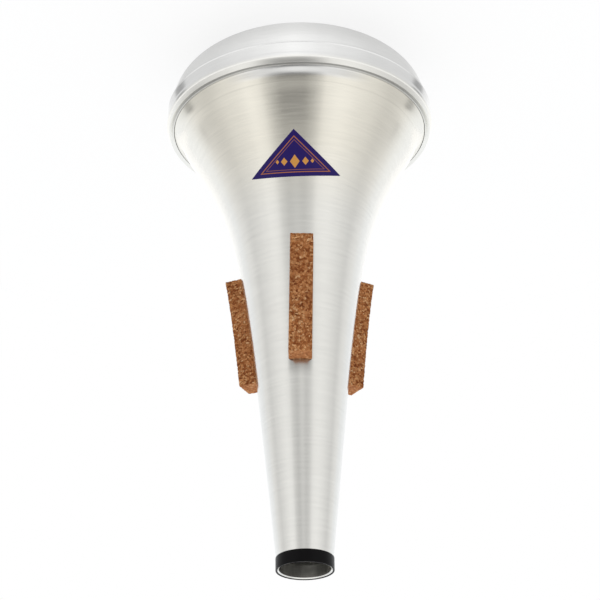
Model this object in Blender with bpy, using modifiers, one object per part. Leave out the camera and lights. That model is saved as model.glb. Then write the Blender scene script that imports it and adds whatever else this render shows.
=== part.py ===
"""Straight mute for a bass trombone.

A flared body and a domed end cap, both spun from thin aluminium sheet and closed by
crimping the cap's rim over the body's lip.  Three cork strips hold the mute in the
bell, a black ring guards the open small end and a three-cornered label faces -Y.
The mute stands on the flat land of its cap: z = 0 is that land, +Z runs up the axis
to the small end.  Lengths are in metres, and a height is measured from the seam
plane, where the cap's rim closes on the body, unless it is called z.
"""
import math

import bmesh
import bpy
from mathutils import Matrix

MM = 0.001

# End cap: rolled rim, grooved skirt, shoulder, dome and a flat land to stand on
RIM_RADIUS = 70.0 * MM            # outermost circle of the rolled rim
RIM_ROLL = 2.35 * MM              # outer radius of the roll's section
RIM_DEPTH = 2.0 * MM              # roll's centre below the seam plane
CAP_WALL = 0.9 * MM
GROOVE_DEPTH = 7.2 * MM           # level at which the skirt grips the lip's band
SHOULDER_INSET = 0.3 * MM         # shoulder's circle inside the rim's
SHOULDER_DEPTH = 11.5 * MM        # level of the step under the shoulder
SHOULDER_ROUND = 1.1 * MM
STEP_ROUND = 0.8 * MM             # fillet between the step and the dome
DOME_INSET = 3.0 * MM             # dome's widest circle inside the rim's
DOME_DROP = 4.0 * MM              # from the step down to where the dome starts to close
DOME_HEIGHT = 28.5 * MM
DOME_POWER = 2.2                  # 2 is an ellipse, more is squarer
LAND_RADIUS = 24.0 * MM

# Body: a straight taper with a bell-like flare added to it
BODY_LENGTH = 240.0 * MM          # seam plane to the open end
BODY_WALL = 0.8 * MM
MOUTH_INSET = 4.2 * MM            # flare's circle in the seam plane inside the rim's
CONE_RADIUS = 36.9 * MM           # where the taper alone would meet the seam plane
END_RADIUS = 13.12 * MM           # where the taper would meet the open end
FLARE_HEIGHT = 38.5 * MM          # height over which the flare dies away
FLARE_POWER = 1.19
LIP_HEIGHT = 0.5 * MM             # the flare starts to turn down here
LIP_DROP = 8.8 * MM               # height over which it turns down to a straight band

# Seat at the open end for the tip ring
SEAT_LENGTH = 6.0 * MM
SEAT_STEP = 0.52 * MM             # depth of the step from the body to the seat
SEAT_SLOPE = 0.5 * MM             # height of that step

# Tip ring: a soft sleeve over the seat, standing a little past the open end
RING_WALL = 0.5 * MM
RING_OVERHANG = 0.6 * MM
RING_SLACK = 0.15 * MM            # to the seat all round
RING_EDGE = 0.15 * MM             # bevel of its corners

# Cork strips, bent to the body and cut square to its axis
CORK_WIDTH = 11.4 * MM
CORK_THICKNESS = 8.8 * MM
CORK_LOW = 81.0 * MM              # height of the end towards the cap
CORK_HIGH = 141.2 * MM            # height of the end towards the small end
CORK_EDGE = 0.4 * MM
CORK_EDGE_ANGLE = 60.0            # degrees: corners sharper than this are worn
# Bearings are in degrees from -Y, anticlockwise from above
FRONT_CORK_BEARING = 0.5
FRONT_CORK_LEAN = 1.5             # degrees out of upright, top towards +X
RIGHT_CORK_BEARING = 114.0
LEFT_CORK_BEARING = -121.3

# Label: a flat three-cornered sticker bent round the flare, point towards the cap
LABEL_EDGE = 46.4 * MM            # length of the long edge
LABEL_LOW = 26.9 * MM             # height of the point
LABEL_HIGH = 48.7 * MM            # height of the long edge's middle
LABEL_BEARING = 3.4
LABEL_THICKNESS = 0.3 * MM

CLEARANCE = 0.3 * MM              # between pieces that touch
CUT_MARGIN = 3.0 * MM             # how far a cutter runs past what it cuts
MERGE_DISTANCE = 0.01 * MM

# Stations along the outlines and sides round the axis
TURN_STEPS = 56
ROLL_STATIONS = 7
GROOVE_STATIONS = 3
SHOULDER_STATIONS = 3
STEP_STATIONS = 2
DOME_STATIONS = 9
FLARE_STATIONS = 16
FLARE_GATHER = 1.7                # 1 spaces the flare's stations evenly, more crowds the mouth
LIP_STATIONS = 4
CORK_STATIONS = 9
LABEL_STATIONS = 8                # along each of its three edges

# Colour, roughness and metallic value of each finish
BODY_FINISH = ((0.80, 0.79, 0.76), 0.30, 1.0)
CAP_FINISH = ((0.84, 0.84, 0.83), 0.22, 1.0)
RING_FINISH = ((0.012, 0.012, 0.013), 0.35, 0.0)
CORK_FINISH = ((0.32, 0.145, 0.06), 0.85, 0.0)
LABEL_FINISH = ((0.035, 0.025, 0.16), 0.40, 0.0)

# Sizes that follow from the ones above
MOUTH_RADIUS = RIM_RADIUS - MOUTH_INSET
SHOULDER_RADIUS = RIM_RADIUS - SHOULDER_INSET
DOME_RADIUS = RIM_RADIUS - DOME_INSET
DOME_DEPTH = SHOULDER_DEPTH + DOME_DROP
BAND_DEPTH = SHOULDER_DEPTH - CAP_WALL - CLEARANCE


def body_radius(height):
    """Outer radius of the body at a height above the seam plane."""
    cone = END_RADIUS + (CONE_RADIUS - END_RADIUS) * (1 - height / BODY_LENGTH)
    spread = math.exp(-((height / FLARE_HEIGHT) ** FLARE_POWER))
    return cone + (MOUTH_RADIUS - CONE_RADIUS) * spread


def lip_slope():
    """Radius that the body gains per unit of height lost where its lip starts."""
    share = LIP_HEIGHT / FLARE_HEIGHT
    spread = math.exp(-(share ** FLARE_POWER)) * share ** (FLARE_POWER - 1)
    flare = (MOUTH_RADIUS - CONE_RADIUS) * spread * FLARE_POWER / FLARE_HEIGHT
    return flare + (CONE_RADIUS - END_RADIUS) / BODY_LENGTH


def band_radius():
    """Outer radius of the lip's straight band."""
    return body_radius(LIP_HEIGHT) + lip_slope() * LIP_DROP / 2


def seat_radius():
    """Outer radius of the seat for the tip ring."""
    return body_radius(BODY_LENGTH - SEAT_LENGTH) - SEAT_STEP


def rim_wrap():
    """Turn of the roll, from its outermost point to a free edge one clearance off the body."""
    lean = math.atan(lip_slope())
    # Distance from the flare's line to the roll's centre, square to that line
    room = (MOUTH_INSET - RIM_ROLL) * math.cos(lean) - RIM_DEPTH * math.sin(lean)
    corners = (RIM_ROLL, RIM_ROLL - CAP_WALL)
    return lean + min(math.acos((CLEARANCE - room) / corner) for corner in corners)


def dome_radius(depth):
    """Outer radius of the cap's dome at a depth below the level where it starts."""
    return DOME_RADIUS * (1 - (depth / DOME_HEIGHT) ** DOME_POWER) ** (1 / DOME_POWER)


def dome_depth(radius):
    """Depth below the start of the dome at which it has the given outer radius."""
    return DOME_HEIGHT * (1 - (radius / DOME_RADIUS) ** DOME_POWER) ** (1 / DOME_POWER)


SEAM_Z = DOME_DEPTH + dome_depth(LAND_RADIUS)


def clear_scene():
    """Remove every object that the file starts with."""
    for item in list(bpy.data.objects):
        bpy.data.objects.remove(item, do_unlink=True)


def new_collection(name):
    """Make a collection under the scene's own."""
    group = bpy.data.collections.new(name)
    bpy.context.scene.collection.children.link(group)
    return group


def add_material(piece, finish):
    """Give a piece a Principled material of its own."""
    colour, roughness, metallic = finish
    material = bpy.data.materials.new(piece.name)
    material.use_nodes = True
    shader = material.node_tree.nodes["Principled BSDF"]
    shader.inputs["Base Color"].default_value = (*colour, 1.0)
    shader.inputs["Roughness"].default_value = roughness
    shader.inputs["Metallic"].default_value = metallic
    piece.data.materials.append(material)


def turned(name, outline, group, closed=False):
    """Turn an outline of (radius, height) points, outer side first and downwards."""
    mesh = bpy.data.meshes.new(name)
    points = [(radius, 0.0, height + SEAM_Z) for radius, height in outline]
    edges = [(i, i + 1) for i in range(len(points) - 1)]
    if closed:
        edges.append((len(points) - 1, 0))
    mesh.from_pydata(points, edges, [])
    piece = bpy.data.objects.new(name, mesh)
    group.objects.link(piece)
    screw = piece.modifiers.new("Turn", "SCREW")
    screw.steps = TURN_STEPS
    screw.render_steps = TURN_STEPS
    screw.use_merge_vertices = True
    screw.merge_threshold = MERGE_DISTANCE
    screw.use_smooth_shade = True
    return piece


def add_wall(piece, thickness):
    """Give an open turned surface a wall on its inner side."""
    wall = piece.modifiers.new("Wall", "SOLIDIFY")
    wall.thickness = thickness
    wall.offset = -1.0
    wall.use_even_offset = True
    wall.use_rim = True


def prism(name, outline, thickness, placement, group):
    """Extrude a flat outline of (x, y) points and put it in place."""
    curve = bpy.data.curves.new(name, "CURVE")
    curve.dimensions = "2D"
    curve.fill_mode = "BOTH"
    curve.extrude = thickness / 2
    spline = curve.splines.new("POLY")
    spline.points.add(len(outline) - 1)
    for point, (x, y) in zip(spline.points, outline):
        point.co = (x, y, 0.0, 1.0)
    spline.use_cyclic_u = True
    draft = bpy.data.objects.new(name, curve)
    group.objects.link(draft)
    draft.matrix_world = placement
    bpy.context.view_layer.update()
    evaluated = draft.evaluated_get(bpy.context.evaluated_depsgraph_get())
    mesh = bpy.data.meshes.new_from_object(evaluated)
    bpy.data.objects.remove(draft, do_unlink=True)
    solid = bmesh.new()
    solid.from_mesh(mesh)
    bmesh.ops.remove_doubles(solid, verts=solid.verts, dist=MERGE_DISTANCE)
    bmesh.ops.recalc_face_normals(solid, faces=solid.faces)
    solid.to_mesh(mesh)
    solid.free()
    piece = bpy.data.objects.new(name, mesh)
    group.objects.link(piece)
    piece.matrix_world = placement
    return piece


def cut(piece, cutter, operation):
    """Cut a piece by another with an exact Boolean."""
    boolean = piece.modifiers.new(operation.title(), "BOOLEAN")
    boolean.operation = operation
    boolean.object = cutter
    boolean.solver = "EXACT"


def hide_cutter(cutter):
    """Show a cutter as wire and keep it out of renders."""
    cutter.hide_render = True
    cutter.display_type = "WIRE"


def flare_heights():
    """Heights of the body's stations, top down and closer where the flare bends."""
    top = BODY_LENGTH - SEAT_LENGTH
    heights = []
    for i in range(FLARE_STATIONS + 1):
        share = (1 - i / FLARE_STATIONS) ** FLARE_GATHER
        heights.append(LIP_HEIGHT + share * (top - LIP_HEIGHT))
    return heights


def lip_points():
    """The lip's turn from the flare's slope to a straight band."""
    points = []
    for i in range(1, LIP_STATIONS + 1):
        share = i / LIP_STATIONS
        gain = lip_slope() * LIP_DROP * share * (1 - share / 2)
        points.append((body_radius(LIP_HEIGHT) + gain, LIP_HEIGHT - LIP_DROP * share))
    points.append((band_radius(), -BAND_DEPTH))
    return points


def body_outline():
    """Outer line of the body, from the open end down to the band's edge."""
    seat_foot = BODY_LENGTH - SEAT_LENGTH + SEAT_SLOPE
    points = [(seat_radius(), BODY_LENGTH), (seat_radius(), seat_foot)]
    points += [(body_radius(height), height) for height in flare_heights()]
    return points + lip_points()


def rim_points():
    """The rolled rim, from its free edge over the top to the outermost circle."""
    centre = RIM_RADIUS - RIM_ROLL
    points = []
    for i in range(ROLL_STATIONS + 1):
        angle = rim_wrap() * (1 - i / ROLL_STATIONS)
        radius = centre + RIM_ROLL * math.cos(angle)
        points.append((radius, RIM_ROLL * math.sin(angle) - RIM_DEPTH))
    return points


def eased(start, end, share):
    """A radius between two others, level at both ends."""
    return start + (end - start) * (1 - math.cos(math.pi * share)) / 2


def skirt_points():
    """The skirt's shallow groove, then the shoulder's rounded corner."""
    groove = band_radius() + CLEARANCE + CAP_WALL
    foot = SHOULDER_DEPTH - SHOULDER_ROUND
    points = []
    for i in range(1, GROOVE_STATIONS + 1):
        share = i / GROOVE_STATIONS
        depth = RIM_DEPTH + (GROOVE_DEPTH - RIM_DEPTH) * share
        points.append((eased(RIM_RADIUS, groove, share), -depth))
    for i in range(1, GROOVE_STATIONS):
        share = i / GROOVE_STATIONS
        depth = GROOVE_DEPTH + (foot - GROOVE_DEPTH) * share
        points.append((eased(groove, SHOULDER_RADIUS, share), -depth))
    for i in range(SHOULDER_STATIONS + 1):
        turn = math.radians(90.0) * i / SHOULDER_STATIONS
        radius = SHOULDER_RADIUS - SHOULDER_ROUND * (1 - math.cos(turn))
        points.append((radius, -foot - SHOULDER_ROUND * math.sin(turn)))
    return points


def dome_points():
    """The dome, from the fillet under the shoulder to the edge of the flat land."""
    last = math.asin((dome_depth(LAND_RADIUS) / DOME_HEIGHT) ** (DOME_POWER / 2))
    points = []
    for i in range(STEP_STATIONS + 1):
        turn = math.radians(90.0) * i / STEP_STATIONS
        radius = DOME_RADIUS + STEP_ROUND * (1 - math.sin(turn))
        points.append((radius, -SHOULDER_DEPTH - STEP_ROUND * (1 - math.cos(turn))))
    for i in range(DOME_STATIONS + 1):
        depth = DOME_HEIGHT * math.sin(last * i / DOME_STATIONS) ** (2 / DOME_POWER)
        points.append((dome_radius(depth), -DOME_DEPTH - depth))
    return points


def cap_outline():
    """Outer line of the cap, from the rim's free edge down to the axis."""
    return rim_points() + skirt_points() + dome_points() + [(0.0, -SEAM_Z)]


def build_body(group):
    """The spun body, open at the small end and at the cap."""
    body = turned("body_shell", body_outline(), group)
    add_wall(body, BODY_WALL)
    add_material(body, BODY_FINISH)


def build_cap(group):
    """The spun end cap with its rim rolled over the body's lip."""
    cap = turned("end_cap", cap_outline(), group)
    add_wall(cap, CAP_WALL)
    add_material(cap, CAP_FINISH)


def build_tip_ring(group):
    """The black ring on the open end."""
    inner = seat_radius() + RING_SLACK
    outer = inner + RING_WALL
    top = BODY_LENGTH + RING_OVERHANG
    foot = BODY_LENGTH - SEAT_LENGTH + SEAT_SLOPE + CLEARANCE
    outline = [
        (inner + RING_EDGE, top),
        (outer - RING_EDGE, top),
        (outer, top - RING_EDGE),
        (outer, foot + RING_EDGE),
        (outer - RING_EDGE, foot),
        (inner, foot),
        (inner, top - RING_EDGE),
    ]
    ring = turned("tip_ring", outline, group, closed=True)
    add_material(ring, RING_FINISH)


def body_envelope(group):
    """Solid of revolution one clearance larger than the body, past both ends of the cork."""
    high = CORK_HIGH + CUT_MARGIN
    low = CORK_LOW - CUT_MARGIN
    count = 2 * CORK_STATIONS
    steps = [high + (low - high) * i / count for i in range(count + 1)]
    outline = [(0.0, high)]
    outline += [(body_radius(height) + CLEARANCE, height) for height in steps]
    outline.append((0.0, low))
    envelope = turned("body_envelope", outline, group)
    hide_cutter(envelope)
    return envelope


def cork_outline():
    """Side view of a strip, x outwards from the axis and y along it."""
    count = CORK_STATIONS - 1
    heights = [CORK_LOW + (CORK_HIGH - CORK_LOW) * i / count for i in range(count + 1)]
    # Deep enough for the hollow that the body leaves in the strip's back
    sink = CORK_WIDTH / 2
    inner = [(body_radius(height) - sink, height) for height in heights]
    reach = CLEARANCE + CORK_THICKNESS
    outer = [(body_radius(height) + reach, height) for height in reversed(heights)]
    return inner + outer


def build_corks(group, cutters):
    """Three strips, hollowed to sit on the body."""
    envelope = body_envelope(cutters)
    # The outline's x points outwards, its y along +Z and its thickness sideways
    upright = Matrix(((0, 0, 1, 0), (-1, 0, 0, 0), (0, 1, 0, SEAM_Z), (0, 0, 0, 1)))
    middle = (CORK_LOW + CORK_HIGH) / 2 + SEAM_Z
    strips = (
        ("cork_front", FRONT_CORK_BEARING, FRONT_CORK_LEAN),
        ("cork_right", RIGHT_CORK_BEARING, 0.0),
        ("cork_left", LEFT_CORK_BEARING, 0.0),
    )
    for name, bearing, lean in strips:
        pivot = Matrix.Translation((0.0, 0.0, middle))
        tilt = pivot @ Matrix.Rotation(math.radians(lean), 4, "Y") @ pivot.inverted()
        turn = Matrix.Rotation(math.radians(bearing), 4, "Z")
        strip = prism(name, cork_outline(), CORK_WIDTH, turn @ tilt @ upright, group)
        bevel = strip.modifiers.new("Worn edges", "BEVEL")
        bevel.width = CORK_EDGE
        bevel.segments = 1
        bevel.limit_method = "ANGLE"
        bevel.angle_limit = math.radians(CORK_EDGE_ANGLE)
        cut(strip, envelope, "DIFFERENCE")
        add_material(strip, CORK_FINISH)


def label_point(across, up):
    """Where a point of the flat label falls, as seen from its own bearing.

    The flare under the label is taken as the cone through its two levels.  Rolled out
    flat, that cone's apex lies beyond the long edge.  `across` is measured along that
    edge from its middle, `up` is the share of the way from the point to it.
    """
    fall = body_radius(LABEL_LOW) - body_radius(LABEL_HIGH)
    rise = LABEL_HIGH - LABEL_LOW
    slant = math.hypot(fall, rise)
    near = body_radius(LABEL_HIGH) * slant / fall
    along = near + (1 - up) * slant
    bearing = math.atan2(across, along) * slant / fall
    height = LABEL_LOW + (near + slant - math.hypot(across, along)) * rise / slant
    return ((body_radius(height) + CLEARANCE) * math.sin(bearing), height)


def label_outline():
    """Outline of the label as seen from its own bearing, x across it and y the height."""
    corners = [(0.0, 0.0), (LABEL_EDGE / 2, 1.0), (-LABEL_EDGE / 2, 1.0)]
    points = []
    for (across, up), (far_across, far_up) in zip(corners, corners[1:] + corners[:1]):
        for i in range(LABEL_STATIONS):
            share = i / LABEL_STATIONS
            point = (across + (far_across - across) * share, up + (far_up - up) * share)
            points.append(label_point(*point))
    return points


def label_heights():
    """The body's stations from the last one under the label to the first one over it."""
    under = max(height for height in flare_heights() if height < LABEL_LOW)
    over = min(height for height in flare_heights() if height > LABEL_HIGH)
    return [height for height in flare_heights() if under <= height <= over]


def build_label(group, cutters):
    """A thin band over the body, trimmed to the label's outline."""
    lift = CLEARANCE + LABEL_THICKNESS
    band = [(body_radius(height) + lift, height) for height in label_heights()]
    label = turned("label", band, group)
    add_wall(label, LABEL_THICKNESS)
    # The trimmer reaches from the axis to well outside the band
    reach = band[-1][0]
    facing = Matrix(((1, 0, 0, 0), (0, 0, -1, -reach), (0, 1, 0, SEAM_Z), (0, 0, 0, 1)))
    turn = Matrix.Rotation(math.radians(LABEL_BEARING), 4, "Z")
    trimmer = prism("label_trimmer", label_outline(), 2 * reach, turn @ facing, cutters)
    hide_cutter(trimmer)
    cut(label, trimmer, "INTERSECT")
    add_material(label, LABEL_FINISH)


def main():
    """Build every piece of the mute."""
    clear_scene()
    parts = new_collection("bass_trombone_straight_mute")
    cutters = new_collection("cutters")
    build_body(parts)
    build_cap(parts)
    build_tip_ring(parts)
    build_corks(parts, cutters)
    build_label(parts, cutters)


main()
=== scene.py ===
"""Studio scene of a straight mute for a bass trombone.

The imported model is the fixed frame.  Lengths are in metres, z = 0 is the land under the
cap, +Z runs up the axis to the small end and the label faces -Y.  A height is measured
from the seam plane, where the cap's rim closes on the body, unless it is called z.
"""

import logging
import math
from dataclasses import dataclass
from enum import Enum
from typing import Any, Union

import bpy
from mathutils import Matrix, Vector


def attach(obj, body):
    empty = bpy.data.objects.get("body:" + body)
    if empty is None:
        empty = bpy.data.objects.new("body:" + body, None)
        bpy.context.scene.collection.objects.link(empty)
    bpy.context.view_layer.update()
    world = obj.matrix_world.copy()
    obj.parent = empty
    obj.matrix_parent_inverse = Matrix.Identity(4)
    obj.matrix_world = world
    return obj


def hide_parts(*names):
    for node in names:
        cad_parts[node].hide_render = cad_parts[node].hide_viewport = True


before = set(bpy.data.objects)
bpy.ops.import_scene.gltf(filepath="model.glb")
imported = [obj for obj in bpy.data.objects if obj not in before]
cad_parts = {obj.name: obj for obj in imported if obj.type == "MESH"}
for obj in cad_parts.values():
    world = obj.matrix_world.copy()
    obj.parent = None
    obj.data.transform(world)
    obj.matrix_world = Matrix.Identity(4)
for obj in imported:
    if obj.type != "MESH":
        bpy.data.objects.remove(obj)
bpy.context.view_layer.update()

log = logging.getLogger("mute")

MM = 0.001
SEAM_Z = 0.0426055                # the seam plane above the land
CLEARANCE = 0.3 * MM              # between pieces that touch
SIDES = 192                       # of every turned piece
WELD = 0.002 * MM                 # points that lie closer become one
FLOOR_GUARD = 0.00001             # keeps a whole number's floor from the number below

Colour = tuple[float, float, float]
Point = tuple[float, float]


# Node trees


class Value:
    """A number socket that works in Python expressions: each operator adds a Math node."""

    def __init__(self, web: "Web", socket: bpy.types.NodeSocket) -> None:
        """Wrap a socket of a tree.

        Args:
            web: The tree that the socket is in.
            socket: An output socket that holds a number.
        """
        self.web = web
        self.socket = socket

    def __add__(self, other: "Number") -> "Value":
        """Add."""
        return self.web.math("ADD", self, other)

    def __radd__(self, other: "Number") -> "Value":
        """Add to a number."""
        return self.web.math("ADD", other, self)

    def __sub__(self, other: "Number") -> "Value":
        """Subtract."""
        return self.web.math("SUBTRACT", self, other)

    def __rsub__(self, other: "Number") -> "Value":
        """Subtract from a number."""
        return self.web.math("SUBTRACT", other, self)

    def __mul__(self, other: "Number") -> "Value":
        """Multiply."""
        return self.web.math("MULTIPLY", self, other)

    def __rmul__(self, other: "Number") -> "Value":
        """Multiply a number."""
        return self.web.math("MULTIPLY", other, self)

    def __truediv__(self, other: "Number") -> "Value":
        """Divide."""
        return self.web.math("DIVIDE", self, other)

    def __rtruediv__(self, other: "Number") -> "Value":
        """Divide a number."""
        return self.web.math("DIVIDE", other, self)

    def __mod__(self, other: "Number") -> "Value":
        """Take the remainder."""
        return self.web.math("FLOORED_MODULO", self, other)

    def __pow__(self, other: "Number") -> "Value":
        """Raise to a power."""
        return self.web.math("POWER", self, other)

    def __neg__(self) -> "Value":
        """Change the sign."""
        return self.web.math("MULTIPLY", self, -1.0)

    def __abs__(self) -> "Value":
        """Drop the sign."""
        return self.web.math("ABSOLUTE", self)

    def __gt__(self, other: "Number") -> "Value":
        """Compare: 1 where this is more."""
        return self.web.math("GREATER_THAN", self, other)

    def __lt__(self, other: "Number") -> "Value":
        """Compare: 1 where this is less."""
        return self.web.math("LESS_THAN", self, other)

    def call(self, operation: str) -> "Value":
        """Apply a Math operation of one operand, such as SINE or FLOOR."""
        return self.web.math(operation, self)


Number = Union[Value, float]
Feed = Union[Value, bpy.types.NodeSocket, float, tuple, str, bpy.types.ID]


class Web:
    """A node tree, and the one method that adds a node of any type to it."""

    def __init__(self, tree: bpy.types.NodeTree) -> None:
        """Start from an empty tree.

        Args:
            tree: A shader tree or a Geometry Nodes tree.
        """
        self.tree = tree
        tree.nodes.clear()

    def feed(self, socket: bpy.types.NodeSocket, feed: Feed) -> None:
        """Link an input to a socket, or set its own value.

        Args:
            socket: The input.
            feed: What it gets: a wrapped number, a socket or a plain value.
        """
        if isinstance(feed, Value):
            feed = feed.socket
        if isinstance(feed, bpy.types.NodeSocket):
            self.tree.links.new(feed, socket)
        else:
            socket.default_value = feed

    def node(
        self,
        kind: str,
        settings: dict[str, Any] | None = None,
        inputs: dict[str | int, Feed] | None = None,
    ) -> bpy.types.Node:
        """Add a node.

        Args:
            kind: The node's type.
            settings: Its properties, set first; `stops` fills a ramp.
            inputs: Values or links of its inputs, by name or number.

        Returns:
            The new node.
        """
        node = self.tree.nodes.new(kind)
        for name, setting in (settings or {}).items():
            if name == "stops":
                self.fill_ramp(node.color_ramp, setting)
            elif name == "interpolation" and hasattr(node, "color_ramp"):
                node.color_ramp.interpolation = setting
            else:
                setattr(node, name, setting)
        for key, feed in (inputs or {}).items():
            self.feed(node.inputs[key], feed)
        return node

    def fill_ramp(self, ramp: bpy.types.ColorRamp, stops: list[tuple]) -> None:
        """Give a ramp its stops.

        Args:
            ramp: The ramp, with its first two stops.
            stops: Place and either a grey level or a colour, in order.
        """
        while len(ramp.elements) < len(stops):
            ramp.elements.new(1.0)
        for element, (place, colour) in zip(ramp.elements, stops):
            element.position = place
            level = (colour,) * 3 if isinstance(colour, float) else colour
            element.color = (*level, 1.0)

    def value(
        self,
        kind: str,
        output: str | int = 0,
        settings: dict[str, Any] | None = None,
        inputs: dict[str | int, Feed] | None = None,
    ) -> Value:
        """Add a node and take one of its outputs as a number.

        Args:
            kind: The node's type.
            output: The output, by name or number.
            settings: Its properties.
            inputs: Values or links of its inputs.

        Returns:
            The output, ready for expressions.
        """
        return Value(self, self.node(kind, settings, inputs).outputs[output])

    def math(self, operation: str, *operands: Number) -> Value:
        """Add a Math node.

        Args:
            operation: The node's operation.
            operands: One to three numbers.

        Returns:
            The result.
        """
        inputs = dict(enumerate(operands))
        return self.value("ShaderNodeMath", 0, {"operation": operation}, inputs)

    def least(self, first: Number, second: Number) -> Value:
        """Return the smaller of two numbers."""
        return self.math("MINIMUM", first, second)

    def most(self, first: Number, second: Number) -> Value:
        """Return the larger of two numbers."""
        return self.math("MAXIMUM", first, second)

    def clamp(self, number: Number, low: Number, high: Number) -> Value:
        """Hold a number between two others."""
        return self.most(self.least(number, high), low)

    def smooth(self, number: Number, start: float, end: float) -> Value:
        """Step softly from 0 to 1.

        Args:
            number: What is compared.
            start: Where the step starts.
            end: Where it is done; less than `start` for a step down.

        Returns:
            The step.
        """
        settings = {"interpolation_type": "SMOOTHSTEP"}
        if start < end:
            inputs = {0: number, 1: start, 2: end, 3: 0.0, 4: 1.0}
        else:
            inputs = {0: number, 1: end, 2: start, 3: 1.0, 4: 0.0}
        return self.value("ShaderNodeMapRange", 0, settings, inputs)

    def vector(self, x: Number, y: Number, z: Number) -> bpy.types.NodeSocket:
        """Join three numbers."""
        return self.node("ShaderNodeCombineXYZ", None, {0: x, 1: y, 2: z}).outputs[0]

    def split(self, vector: bpy.types.NodeSocket) -> tuple[Value, Value, Value]:
        """Take a vector apart."""
        node = self.node("ShaderNodeSeparateXYZ", None, {0: vector})
        return tuple(Value(self, output) for output in node.outputs)

    def blend(
        self, share: Number, first: Feed, second: Feed, kind: str = "MIX"
    ) -> bpy.types.NodeSocket:
        """Mix two colours.

        Args:
            share: 0 is the first colour alone.
            first: A colour or a socket.
            second: A colour or a socket.
            kind: The Mix node's blend type.

        Returns:
            The mixed colour.
        """
        colours = [(*c, 1.0) if isinstance(c, tuple) else c for c in (first, second)]
        settings = {"data_type": "RGBA", "blend_type": kind, "clamp_factor": True}
        inputs = {0: share, 6: colours[0], 7: colours[1]}
        return self.node("ShaderNodeMix", settings, inputs).outputs[2]

    def ramp(
        self, number: Number, stops: list[tuple], interpolation: str = "LINEAR"
    ) -> bpy.types.NodeSocket:
        """Read a colour off a ramp.

        Args:
            number: Place on the ramp, 0 to 1.
            stops: The ramp's stops.
            interpolation: How it runs between them.

        Returns:
            The colour.
        """
        settings = {"interpolation": interpolation, "stops": stops}
        return self.node("ShaderNodeValToRGB", settings, {0: number}).outputs[0]

    def noise(
        self, place: Feed, scale: float, detail: float = 2.0, roughness: float = 0.5
    ) -> Value:
        """Add soft noise.

        Args:
            place: Where it is read.
            scale: Cells per metre.
            detail: Octaves.
            roughness: Weight of the finer octaves.

        Returns:
            The noise, about 0 to 1.
        """
        inputs = {"Vector": place, "Scale": scale, "Detail": detail, "Roughness": roughness}
        return self.value("ShaderNodeTexNoise", 0, None, inputs)

    def mark(self, name: str) -> Value:
        """Read a number that a piece's mesh keeps at each point."""
        settings = {"attribute_type": "GEOMETRY", "attribute_name": name}
        return self.value("ShaderNodeAttribute", "Fac", settings)


class Finish:
    """What every finish shares: a material with a Principled shader and its output."""

    def start(self, name: str) -> tuple[bpy.types.Material, Web]:
        """Make a material.

        Args:
            name: Its name.

        Returns:
            The material, and its emptied tree.
        """
        material = bpy.data.materials.new(name)
        material.use_nodes = True
        return material, Web(material.node_tree)

    def close(self, web: Web, inputs: dict[str | int, Feed]) -> None:
        """Add the Principled shader and the output.

        Args:
            web: The material's tree.
            inputs: The shader's inputs.
        """
        shader = web.node("ShaderNodeBsdfPrincipled", None, inputs)
        web.node("ShaderNodeOutputMaterial", None, {"Surface": shader.outputs[0]})

    def place(self, web: Web) -> bpy.types.NodeSocket:
        """Return the object coordinates."""
        return web.node("ShaderNodeTexCoord").outputs["Object"]

    def bump(self, web: Web, height: Value, depth: float) -> bpy.types.NodeSocket:
        """Turn a height of 0 to 1 into a normal.

        Args:
            web: The material's tree.
            height: The relief.
            depth: Height of a full step.

        Returns:
            The normal.
        """
        inputs = {"Strength": 1.0, "Distance": depth, "Height": height}
        return web.node("ShaderNodeBump", None, inputs).outputs[0]


# Finishes


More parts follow.
